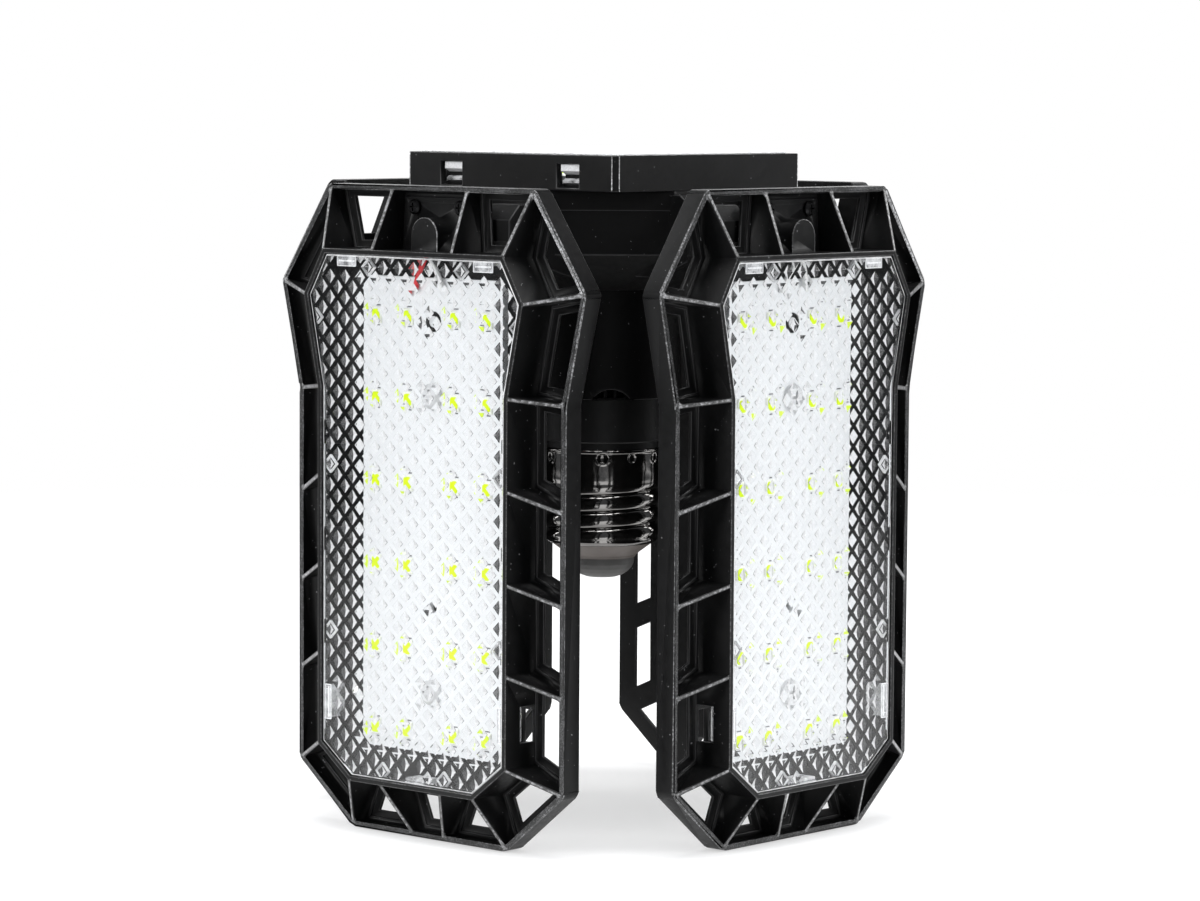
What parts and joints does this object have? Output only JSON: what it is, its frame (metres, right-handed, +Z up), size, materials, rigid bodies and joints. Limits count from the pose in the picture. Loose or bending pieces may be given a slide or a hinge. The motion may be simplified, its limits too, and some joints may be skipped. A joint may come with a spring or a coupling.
{
  "type": "folding garage light",
  "caption": "Garage ceiling light with hinged LED panels that fold down round an Edison screw base and open out flat about a square hub.",
  "frame": {"origin": "on the floor under the hub axis, at the centre of the four panel ends that the folded light stands on", "axes": "+Z up along the hub and screw base axis, from the screw base towards the hub's cover; folded panels face -Y (front), +X (right), +Y (back) and -X (left)"},
  "size_m": [0.121, 0.121, 0.1454],
  "materials": {
    "black_plastic": "fine grained moulded polymer, satin, edges catch the light",
    "knuckle_plastic": "glass filled moulded polymer, satin",
    "clear_cover": "clear water-white polymer with a pattern of small pyramids",
    "white_board": "white solder mask on an aluminium core board",
    "led_package": "white package with a yellow phosphor window",
    "bright_screw": "zinc plated",
    "black_screw": "black oxide",
    "driver_board": "green solder mask",
    "capacitor_sleeve": "dark shrink sleeve",
    "transformer_tape": "yellow tape over ferrite",
    "component_black": "moulded component bodies",
    "red_wire": "insulated wire",
    "white_wire": "insulated wire",
    "collar_gloss": "polished black polymer",
    "base_nickel": "dark nickel plate, polished",
    "base_insulator": "grey brown insulating cone",
    "base_contact": "tinned contact, satin"
  },
  "bodies": {
    "root": {"hub_top_frame": "black_plastic", "hub_lens": "clear_cover", "hub_board": "white_board", "hub_leds": "led_package", "hub_board_screws": "bright_screw", "hub_housing": "black_plastic", "housing_screws": "bright_screw", "driver_board": "driver_board", "driver_capacitor": "capacitor_sleeve", "driver_transformer": "transformer_tape", "driver_components": "component_black", "hub_leads": "red_wire", "base_collar": "collar_gloss", "screw_shell": "base_nickel", "base_insulator": "base_insulator", "base_contact": "base_contact", "supply_leads": "white_wire", "hinge_screws": "black_screw", "hinge_washers": "bright_screw", "hinge_nuts": "bright_screw"},
    "panel_front": {"panel_frame_front": "black_plastic", "panel_lens_front": "clear_cover", "panel_board_front": "white_board", "panel_leds_front": "led_package", "panel_board_screws_front": "bright_screw", "panel_knuckle_front": "knuckle_plastic", "panel_knuckle_screws_front": "black_screw", "panel_leads_front": "red_wire"},
    "panel_right": {"panel_frame_right": "black_plastic", "panel_lens_right": "clear_cover", "panel_board_right": "white_board", "panel_leds_right": "led_package", "panel_board_screws_right": "bright_screw", "panel_knuckle_right": "knuckle_plastic", "panel_knuckle_screws_right": "black_screw", "panel_leads_right": "red_wire"},
    "panel_back": {"panel_frame_back": "black_plastic", "panel_lens_back": "clear_cover", "panel_board_back": "white_board", "panel_leds_back": "led_package", "panel_board_screws_back": "bright_screw", "panel_knuckle_back": "knuckle_plastic", "panel_knuckle_screws_back": "black_screw", "panel_leads_back": "red_wire"},
    "panel_left": {"panel_frame_left": "black_plastic", "panel_lens_left": "clear_cover", "panel_board_left": "white_board", "panel_leds_left": "led_package", "panel_board_screws_left": "bright_screw", "panel_knuckle_left": "knuckle_plastic", "panel_knuckle_screws_left": "black_screw", "panel_leads_left": "red_wire"}
  },
  "joints": [
    {"name": "panel_front_fold", "type": "hinge", "parent": "root", "child": "panel_front", "pos_m": [0, -0.044, 0.1293], "axis": [-1, 0, 0], "range_deg": [0, 90]},
    {"name": "panel_right_fold", "type": "hinge", "parent": "root", "child": "panel_right", "pos_m": [0.044, 0, 0.1293], "axis": [0, -1, 0], "range_deg": [0, 90]},
    {"name": "panel_back_fold", "type": "hinge", "parent": "root", "child": "panel_back", "pos_m": [0, 0.044, 0.1293], "axis": [1, 0, 0], "range_deg": [0, 90]},
    {"name": "panel_left_fold", "type": "hinge", "parent": "root", "child": "panel_left", "pos_m": [-0.044, 0, 0.1293], "axis": [0, 1, 0], "range_deg": [0, 90]}
  ]
}
